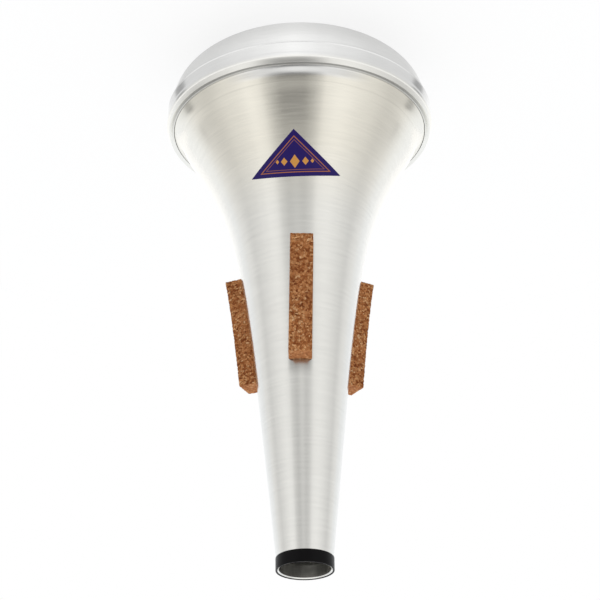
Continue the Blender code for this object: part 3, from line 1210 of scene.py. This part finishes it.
class StripForm(Form):
    """A cork strip bent to the body, hollow behind and flat across in front.

    Scales are cells per metre, and a range is where what it brings starts and is full.
    """

    WEAR_SCALE, PIT_SCALE, CRUMB_SCALE = 320.0, 620.0, 1300.0
    PIT_RANGE, CRUMB_RANGE = (0.58, 0.75), (0.42, 0.62)
    FRONT_RANGE, CUT_RANGE = (-0.42, -0.2), (0.494, 0.499)
    LEAST_WEAR, WEAR, CRUMB_DEPTH = 0.45, 1.3, 0.6

    def __init__(self) -> None:
        """Build the tree."""
        super().__init__("strip_form")
        web = self.web
        names = (
            "Width", "Thickness", "Low", "High", "Edge", "Lean", "Bearing", "Grain", "Pit depth",
            "Seed",
        )
        width, thickness, low, high, edge, lean, bearing, grain, pit, seed = map(self.take, names)
        material = self.take("Material", "NodeSocketMaterial")
        sizes = (width, thickness, high - low)
        cells = {
            f"Vertices {axis}": (size / grain).call("CEIL") + 1 for axis, size in zip("XYZ", sizes)
        }
        block = self.add("GeometryNodeMeshCube", {"Size": (1.0, 1.0, 1.0), **cells})
        spots = web.split(web.node("GeometryNodeInputPosition").outputs[0])
        flat = [spot * size for spot, size in zip(spots, sizes)]
        worn = edge * (self.LEAST_WEAR + self.noise(flat, self.WEAR_SCALE, seed) * self.WEAR)
        held = [web.clamp(p, worn - s / 2, s / 2 - worn) for p, s in zip(flat, sizes)]
        rest = [p - c for p, c in zip(flat, held)]
        reach = (rest[0] * rest[0] + rest[1] * rest[1] + rest[2] * rest[2]).call("SQRT")
        front = web.smooth(spots[1], *self.FRONT_RANGE)
        pits = web.smooth(self.noise(flat, self.PIT_SCALE, seed + 7.0), *self.PIT_RANGE)
        crumbs = web.smooth(self.noise(flat, self.CRUMB_SCALE, seed + 3.0), *self.CRUMB_RANGE)
        relief = (pits + crumbs * self.CRUMB_DEPTH) * pit * front
        scale = (worn - relief) / web.most(reach, worn)
        across, depth, rise = [c + r * scale for c, r in zip(held, rest)]
        middle = (low + high) / 2
        sine, cosine = lean.call("SINE"), lean.call("COSINE")
        side = across * cosine + rise * sine
        height = middle + rise * cosine - across * sine
        body = LINE.field(height) + CLEARANCE
        back = (body * body - side * side).call("SQRT")
        face = LINE.field(rise + middle) + CLEARANCE + thickness
        out = back + (depth / thickness + 0.5) * (face - back)
        inputs = {"Vector": web.vector(side, -out, height + SEAM_Z), "Angle": bearing}
        turned = web.node("ShaderNodeVectorRotate", {"rotation_type": "Z_AXIS"}, inputs).outputs[0]
        block = self.store(block, "cut", web.smooth(abs(spots[2]), *self.CUT_RANGE))
        self.end(self.soften(self.move(block, turned)), (material, True))

    def noise(self, place: list[Value], scale: float, seed: Number) -> Value:
        """Add seeded noise.

        Args:
            place: Where it is read.
            scale: Cells per metre.
            seed: Shifts the pattern.

        Returns:
            The noise, about 0 to 1.
        """
        inputs = {"Vector": self.web.vector(*place), "W": seed, "Scale": scale, "Detail": 2.0}
        return self.web.value("ShaderNodeTexNoise", 0, {"noise_dimensions": "4D"}, inputs)


class LabelForm(Form):
    """A flat three-cornered sticker bent round the flare, with a UV map in lengths of its edge."""

    def __init__(self) -> None:
        """Build the tree."""
        super().__init__("label_form")
        web = self.web
        names = ("Edge", "Low", "High", "Fall", "Near radius", "Bearing", "Lift")
        edge, low, high, fall, near_radius, bearing, lift = map(self.take, names)
        cells = self.take("Cells", "NodeSocketInt")
        material = self.take("Material", "NodeSocketMaterial")
        size = {"Size X": 1.0, "Size Y": 1.0, "Vertices X": cells, "Vertices Y": cells}
        mesh = self.add("GeometryNodeMeshGrid", size)
        x, y, _ = web.split(web.node("GeometryNodeInputPosition").outputs[0])
        up = y + 0.5
        across = x * edge * up
        rise = high - low
        slant = (fall * fall + rise * rise).call("SQRT")
        near = near_radius * slant / fall
        along = near + (1.0 - up) * slant
        swing = web.math("ARCTAN2", across, along) * slant / fall + bearing
        reach = (across * across + along * along).call("SQRT")
        height = low + (near + slant - reach) * rise / slant
        radius = LINE.field(height) + lift
        ahead = radius * swing.call("COSINE")
        place = web.vector(radius * swing.call("SINE"), -ahead, height + SEAM_Z)
        chart = web.vector(across / edge + 0.5, up * slant / edge, 0.0)
        mesh = self.move(self.store(mesh, "UVMap", chart, "FLOAT2", "CORNER"), place)
        self.end(self.soften(self.weld(mesh)), (material, True))


# Pieces


def fasten(piece: bpy.types.Object, node: str) -> None:
    """Tie a piece to the frame and report it.

    Args:
        piece: The finished piece.
        node: The CAD node that it stands for.
    """
    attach(piece, "root")
    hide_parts(node)
    log.info("%s for %s: %d faces", piece.name, node, len(piece.data.polygons))


@dataclass
class SpunBody:
    """The flared body, open at the small end, its lip turned down inside the cap's rim."""

    wall: float = 0.8 * MM
    lip_height: float = 0.5 * MM
    lip_drop: float = 5.6 * MM
    band_depth: float = 10.3 * MM
    seat_length: float = 6.0 * MM
    end_rise: float = 0.05 * MM
    seat_step: float = 0.52 * MM
    seat_slope: float = 0.1 * MM
    end_bevel: float = 0.12 * MM
    # A fine scored line: height, depth, and where the line has stations around it
    score_height: float = 6.0 * MM
    score_depth: float = 0.008 * MM
    score_steps: tuple[float, ...] = (0.4 * MM, 0.25 * MM, 0.0, -0.25 * MM, -0.4 * MM)
    score_room: float = 0.5 * MM
    # Shade painted in the seam's groove as radius, height, reach in mm and strength, and the last
    # two for the shade painted along the score
    seam_shade: tuple[float, float, float, float] = (66.1, -0.35, 0.35, 0.8)
    score_shade: Point = (0.3, 0.10)
    # Stations up the body, how much closer they stand towards the seam, and down the lip
    stations: int = 150
    gather: float = 1.7
    lip_stations: int = 30

    @property
    def seat_radius(self) -> float:
        """Outer radius of the seat for the tip ring."""
        return LINE.radius(LINE.length - self.seat_length) - self.seat_step

    @property
    def band_radius(self) -> float:
        """Outer radius of the lip's straight band."""
        return LINE.radius(self.lip_height) + LINE.slope(self.lip_height) * self.lip_drop / 2

    def outline(self) -> list[Point]:
        """Outer line, from the open end down to the band's edge.

        Returns:
            Radius and height of each station.
        """
        end = LINE.length + self.end_rise
        seat, bevel = self.seat_radius, self.end_bevel
        top = LINE.length - self.seat_length
        points = [(seat - bevel, end), (seat, end - bevel), (seat, top + self.seat_slope)]
        heights = [(1 - i / self.stations) ** self.gather for i in range(self.stations + 1)]
        heights = [self.lip_height + share * (top - self.lip_height) for share in heights]
        heights = [h for h in heights if abs(h - self.score_height) > self.score_room]
        heights += [self.score_height + step for step in self.score_steps]
        for height in sorted(heights, reverse=True):
            score = self.score_depth if height == self.score_height else 0.0
            points.append((LINE.radius(height) - score, height))
        slope = LINE.slope(self.lip_height)
        for i in range(1, self.lip_stations + 1):
            share = i / self.lip_stations
            gain = slope * self.lip_drop * share * (1 - share / 2)
            height = self.lip_height - self.lip_drop * share
            points.append((LINE.radius(self.lip_height) + gain, height))
        return points + [(self.band_radius, -self.band_depth)]

    def build(self, form: TurnedForm, strips: "CorkStrips", bare: bpy.types.Material) -> None:
        """Make the body.

        Args:
            form: The tree that turns it.
            strips: The strips whose painted shadow darkens its metal.
            bare: Material of its inside.
        """
        outer = self.outline()
        metal = SpunAluminium("body_aluminium", curl_highlight_share=0.9, rear_share=0.6, strips=strips)
        score = (LINE.radius(self.score_height) / MM, self.score_height / MM, *self.score_shade)
        dirt = (self.seam_shade, score)
        inner = inset(outer, self.wall)
        body = form.turn("spun_body", outer, inner, metal.build(), bare, dirt)
        fasten(body, "body_shell")


@dataclass
class EndCap:
    """The spun cap: crimped rim with a bevelled bead, skirt, shoulder step, dome and flat land."""

    wall: float = 0.9 * MM
    # Radius, height and rounding of each corner in mm, from the free edge to the step
    rim: tuple[tuple[float, float, float], ...] = (
        (66.42, -0.60, 0.0), (66.12, -0.14, 0.06), (66.50, -0.12, 0.08), (66.98, -0.94, 0.06),
        (67.08, -1.04, 0.04), (67.22, -0.98, 0.06), (68.60, -0.22, 0.05), (69.20, -1.25, 0.20),
        (69.77, -2.30, 0.50), (69.98, -3.50, 0.60), (69.80, -4.90, 0.60), (69.46, -6.40, 0.80),
        (69.46, -11.25, 0.15), (69.60, -11.75, 0.12), (69.58, -12.28, 0.45), (67.90, -12.3, 0.0),
    )
    # Shade painted in the rim's grooves and under the shoulder: radius, height, reach in mm and
    # strength
    dirt: tuple[tuple[float, float, float, float], ...] = (
        (66.90, -0.70, 0.45, 0.95), (66.30, -0.20, 0.35, 0.5), (69.60, -12.0, 0.25, 0.05),
    )
    # The rim's inner side, from the skirt up to the free edge
    rim_back: tuple[tuple[float, float, float], ...] = (
        (68.55, -4.5, 0.0), (68.5, -3.0, 1.0), (67.9, -1.6, 0.6), (66.85, -1.25, 0.2),
    )
    step_depth: float = 12.3 * MM
    step_round: float = 0.8 * MM
    dome: float = 67.0 * MM
    dome_depth: float = 15.5 * MM
    dome_height: float = 28.5 * MM
    dome_power: float = 2.2
    land: float = 24.0 * MM
    # Sections of the fillet under the shoulder and of the dome, and a station on the land
    fillet_steps: int = 8
    dome_steps: int = 60
    land_station: float = 14.4 * MM

    def dome_line(self) -> list[Point]:
        """The dome, from the fillet under the shoulder to the axis.

        Returns:
            Radius and height of each station.
        """
        points = []
        for i in range(self.fillet_steps + 1):
            turn = math.radians(90.0) * i / self.fillet_steps
            radius = self.dome + self.step_round * (1 - math.sin(turn))
            points.append((radius, -self.step_depth - self.step_round * (1 - math.cos(turn))))
        power = self.dome_power
        close = (1 - (self.land / self.dome) ** power) ** (1 / power)
        last = math.asin(close ** (power / 2))
        for i in range(self.dome_steps + 1):
            depth = math.sin(last * i / self.dome_steps) ** (2 / power)
            radius = self.dome * (1 - depth ** power) ** (1 / power)
            points.append((radius, -self.dome_depth - depth * self.dome_height))
        return points + [(self.land_station, -SEAM_Z), (0.0, -SEAM_Z)]

    def build(self, form: TurnedForm, bare: bpy.types.Material) -> None:
        """Make the cap.

        Args:
            form: The tree that turns it.
            bare: Material of its inside.
        """
        dome = self.dome_line()
        outer = rounded(list(self.rim)) + dome
        inner = inset(dome, self.wall) + rounded(list(self.rim_back) + [self.rim[0]])
        cap = form.turn("spun_cap", outer, inner, CapAluminium().build(), bare, self.dirt)
        fasten(cap, "end_cap")


@dataclass
class TipRing:
    """The black sleeve over the seat at the open end."""

    body: SpunBody
    wall: float = 0.72 * MM
    overhang: float = 0.38 * MM
    slack: float = 0.05 * MM
    rounding: float = 0.22 * MM
    foot_gap: float = 0.03 * MM

    def build(self, form: TurnedForm) -> None:
        """Make the sleeve.

        Args:
            form: The tree that turns it.
        """
        inner = self.body.seat_radius + self.slack
        outer = inner + self.wall
        top = LINE.length + self.overhang
        foot = LINE.length - self.body.seat_length + self.body.seat_slope + self.foot_gap
        r = self.rounding
        line = []
        for height, start in ((top - r, 90), (foot + r, 0)):
            for fall in range(0, 91, 15):
                turn = math.radians(start - fall)
                line.append((outer - r + r * math.cos(turn), height + r * math.sin(turn)))
        black = BlackSleeve().build()
        back = [(inner, foot), (inner, top - r), (inner + r * 0.3, top - r * 0.3), (inner + r, top)]
        ring = form.turn("tip_sleeve", line, back, black, black)
        fasten(ring, "tip_ring")


class Strip(Enum):
    """The three cork strips: CAD node, bearing from -Y in degrees, and lean in degrees."""

    FRONT = ("cork_front", 0.5, 1.5)
    RIGHT = ("cork_right", 114.0, 0.0)
    LEFT = ("cork_left", -121.3, 0.0)


@dataclass
class CorkStrips:
    """Three strips of pressed cork, cut square and worn along their edges."""

    width: float = 11.4 * MM
    thickness: float = 8.8 * MM
    low: float = 81.0 * MM
    high: float = 141.2 * MM
    edge: float = 0.36 * MM
    grain: float = 0.42 * MM
    pit: float = 0.4 * MM
    seed: float = 1.7
    seed_step: float = 5.0
    # Painted shade on the metal: its edge in widths of a strip, its edge below a strip, and how far
    # it runs past the upper end
    shade_edge: Point = (0.58, 0.38)
    shade_foot: float = 1.0 * MM
    shade_reach: float = 9.0 * MM

    def shade(self, web: Web, x: Value, y: Value, z: Value) -> Value:
        """Where a shadow is painted on the metal close beside the strips and past their upper ends.

        Args:
            web: The metal's tree.
            x: Place across.
            y: Place in depth.
            z: Place above the land.

        Returns:
            0 in the open, 1 at a strip.
        """
        low, high = SEAM_Z + self.low, SEAM_Z + self.high
        beside = 0.0
        for strip in Strip:
            bearing, lean = (math.radians(angle) for angle in strip.value[1:])
            side = x * math.cos(bearing) + y * math.sin(bearing)
            side = side - (z - (low + high) / 2) * math.sin(lean)
            ahead = (x * math.sin(bearing) - y * math.cos(bearing)) > 0.0
            beside = beside + web.smooth(abs(side) / self.width, *self.shade_edge) * ahead
        foot = web.smooth(z, low - self.shade_foot, low + self.shade_foot)
        return beside * foot * web.smooth(z, high + self.shade_reach, high)

    def build(self) -> None:
        """Make the strips."""
        form = StripForm()
        cork = AgglomeratedCork().build()
        for number, strip in enumerate(Strip):
            node, bearing, lean = strip.value
            piece = form.shape(f"{node}_strip", bpy.data.meshes.new(node), {
                "Width": self.width,
                "Thickness": self.thickness,
                "Low": self.low,
                "High": self.high,
                "Edge": self.edge,
                "Lean": math.radians(lean),
                "Bearing": math.radians(bearing),
                "Grain": self.grain,
                "Pit depth": self.pit,
                "Seed": self.seed + self.seed_step * number,
                "Material": cork,
            })
            fasten(piece, node)


@dataclass
class CornerLabel:
    """The three-cornered sticker on the flare, its point towards the cap."""

    edge: float = 46.4 * MM
    low: float = 26.9 * MM
    high: float = 48.7 * MM
    bearing: float = 3.4
    lift: float = 0.36 * MM
    wall: float = 0.3 * MM
    cells: int = 97

    def build(self) -> None:
        """Make the label."""
        film = PrintedFilm().build()
        label = LabelForm().shape("corner_label", bpy.data.meshes.new("corner_label"), {
            "Edge": self.edge,
            "Low": self.low,
            "High": self.high,
            "Fall": LINE.radius(self.low) - LINE.radius(self.high),
            "Near radius": LINE.radius(self.high),
            "Bearing": math.radians(self.bearing),
            "Lift": self.lift,
            "Cells": self.cells,
            "Material": film,
        }, self.wall)
        fasten(label, "label")


# Studio


@dataclass
class Studio:
    """Floor, soft light and the photograph's viewpoint, rolled by half a turn."""

    # The camera: place, angles, focal length and sensor in mm
    place: tuple[float, float, float] = (0.0, -0.8492, 0.5689)
    pitch: float = math.radians(26.79)
    yaw: float = math.radians(0.056)
    roll: float = math.radians(0.699)
    lens: float = 113.08
    sensor: float = 36.0
    floor_radius: float = 0.45
    floor_sides: int = 96
    # Degrees of bearing from the camera's side, and brightness, for four levels from low to high
    low_light: tuple[Point, ...] = (
        (0, 0.82), (4, 0.72), (11, 0.53), (23, 0.61), (33, 0.80), (47, 0.84), (60, 0.82),
        (75, 0.75), (88, 0.67), (106, 0.81), (128, 0.89), (150, 0.98), (180, 1.04),
    )
    middle_light: tuple[Point, ...] = (
        (0, 0.62), (11, 0.57), (20, 0.66), (33, 0.89), (47, 0.91), (60, 0.83), (75, 0.74),
        (88, 0.68), (97, 0.71), (105, 0.76), (111, 0.82), (117, 0.88), (125, 0.97), (133, 1.01),
        (150, 1.05), (180, 1.07),
    )
    high_light: tuple[Point, ...] = (
        (0, 0.22), (11, 0.235), (20, 0.40), (25, 0.56), (34, 0.87), (47, 0.97), (68, 0.80),
        (92, 0.64), (108, 0.66), (118, 0.75), (130, 0.90), (150, 1.04), (180, 1.05),
    )
    collar_light: tuple[Point, ...] = (
        (0, 1.02), (16, 0.95), (34, 0.80), (54, 0.74), (72, 0.68), (92, 0.69), (108, 0.78),
        (125, 0.96), (150, 1.05), (180, 1.05),
    )
    peak: float = 1.1
    # Heights, as the sine of the elevation, between which each level gives way to the next;
    # from middle to high they differ in front and at the sides
    middle_zone: Point = (-0.36, -0.08)
    front_zone: Point = (0.12, 0.64)
    side_zone: Point = (0.0, 0.20)
    collar_zone: Point = (0.63, 0.69)
    collar_drop: float = 0.08
    top_zone: Point = (0.76, 0.92)
    # Degrees of bearing at which the collar has dropped, the side zone holds, the upper
    # levels turn by `high_turn`, and the light is cooler
    drop_bearing: Point = (20.0, 50.0)
    side_bearing: Point = (60.0, 95.0)
    turn_bearing: Point = (60.0, 35.0)
    cool_bearing: Point = (106.0, 128.0)
    low_turn: float = math.radians(1.5)
    high_turn: float = math.radians(6.0)
    cool: Colour = (0.955, 0.975, 1.0)
    # A dark spot at each side: bearing in degrees and height, each with how its edge fades
    spot_bearing: float = 113.5
    spot_width: Point = (7.0, 2.0)
    spot_height: float = 0.21
    spot_tallness: Point = (0.13, 0.04)
    spot_strength: float = 0.42

    def add_camera(self) -> None:
        """Add the camera and make it the scene's own."""
        forward = Vector((
            math.sin(self.yaw) * math.cos(self.pitch),
            math.cos(self.yaw) * math.cos(self.pitch),
            -math.sin(self.pitch),
        ))
        right = Vector((math.cos(self.yaw), -math.sin(self.yaw), 0.0))
        up = right.cross(forward)
        cosine, sine = math.cos(self.roll), math.sin(self.roll)
        across = -cosine * right + sine * up
        upward = -sine * right - cosine * up
        turn = Matrix((across, upward, -forward)).transposed().to_4x4()
        data = bpy.data.cameras.new("camera")
        data.sensor_width = self.sensor
        data.lens = self.lens
        camera = bpy.data.objects.new("camera", data)
        bpy.context.scene.collection.objects.link(camera)
        camera.matrix_world = Matrix.Translation(self.place) @ turn
        bpy.context.scene.camera = camera

    def add_floor(self) -> None:
        """Lay the floor."""
        turns = [2 * math.pi * i / self.floor_sides for i in range(self.floor_sides)]
        radius = self.floor_radius
        points = [(radius * math.cos(turn), radius * math.sin(turn), 0.0) for turn in turns]
        mesh = bpy.data.meshes.new("floor")
        mesh.from_pydata(points, [], [tuple(range(self.floor_sides))])
        mesh.materials.append(PaleFloor().build())
        floor = bpy.data.objects.new("floor", mesh)
        bpy.context.scene.collection.objects.link(floor)

    def add_light(self) -> None:
        """Light the scene from all round: bright behind and overhead, darker where the camera is."""
        world = bpy.data.worlds.new("soft_light")
        bpy.context.scene.world = world
        world.use_nodes = True
        web = Web(world.node_tree)
        x, y, z = web.split(web.node("ShaderNodeTexCoord").outputs["Generated"])
        bearing = web.math("ARCTAN2", x, -y)
        aside = abs(bearing) * (180.0 / math.pi)
        high_turn = web.smooth(aside, *self.turn_bearing) * self.high_turn
        turns = (self.low_turn, high_turn, high_turn, self.low_turn)
        levels = (self.low_light, self.middle_light, self.high_light, self.collar_light)
        low, middle, high, collar = (
            web.ramp(
                abs(bearing - turn) / math.pi,
                [(place / 180.0, level / self.peak) for place, level in stops],
                "EASE",
            )
            for turn, stops in zip(turns, levels)
        )
        tone = web.blend(web.smooth(z, *self.middle_zone), low, middle)
        side = web.smooth(aside, *self.side_bearing)
        start, end = (
            side * (at_side - in_front) + in_front
            for in_front, at_side in zip(self.front_zone, self.side_zone)
        )
        tone = web.blend(web.smooth((z - start) / (end - start), 0.0, 1.0), tone, high)
        drop = web.smooth(aside, *self.drop_bearing) * self.collar_drop
        tone = web.blend(web.smooth(z + drop, *self.collar_zone), tone, collar)
        tone = web.blend(web.smooth(z, *self.top_zone), tone, (1.0 / self.peak,) * 3)
        spot = web.smooth(abs(aside - self.spot_bearing), *self.spot_width)
        spot = spot * web.smooth(abs(z - self.spot_height), *self.spot_tallness)
        tone = web.blend(spot * self.spot_strength, tone, (0.0, 0.0, 0.0))
        cooler = web.blend(1.0, tone, self.cool, "MULTIPLY")
        tone = web.blend(web.smooth(aside, *self.cool_bearing), tone, cooler)
        seen = Value(web, web.node("ShaderNodeLightPath").outputs["Is Camera Ray"])
        tone = web.blend(seen, tone, (1.0, 1.0, 1.0))
        strength = self.peak - seen * (self.peak - 1.0)
        light = web.node("ShaderNodeBackground", None, {"Color": tone, "Strength": strength})
        web.node("ShaderNodeOutputWorld", None, {"Surface": light.outputs[0]})

    def build(self) -> None:
        """Set up the whole studio."""
        self.add_camera()
        self.add_floor()
        self.add_light()
        bpy.context.scene.view_settings.view_transform = "Standard"


def main() -> None:
    """Build the mute and its studio."""
    logging.basicConfig(level=logging.INFO, format="%(message)s")
    turned = TurnedForm()
    bare = BareAluminium().build()
    strips = CorkStrips()
    body = SpunBody()
    body.build(turned, strips, bare)
    EndCap().build(turned, bare)
    TipRing(body).build(turned)
    strips.build()
    CornerLabel().build()
    Studio().build()


if __name__ == "__main__":
    main()
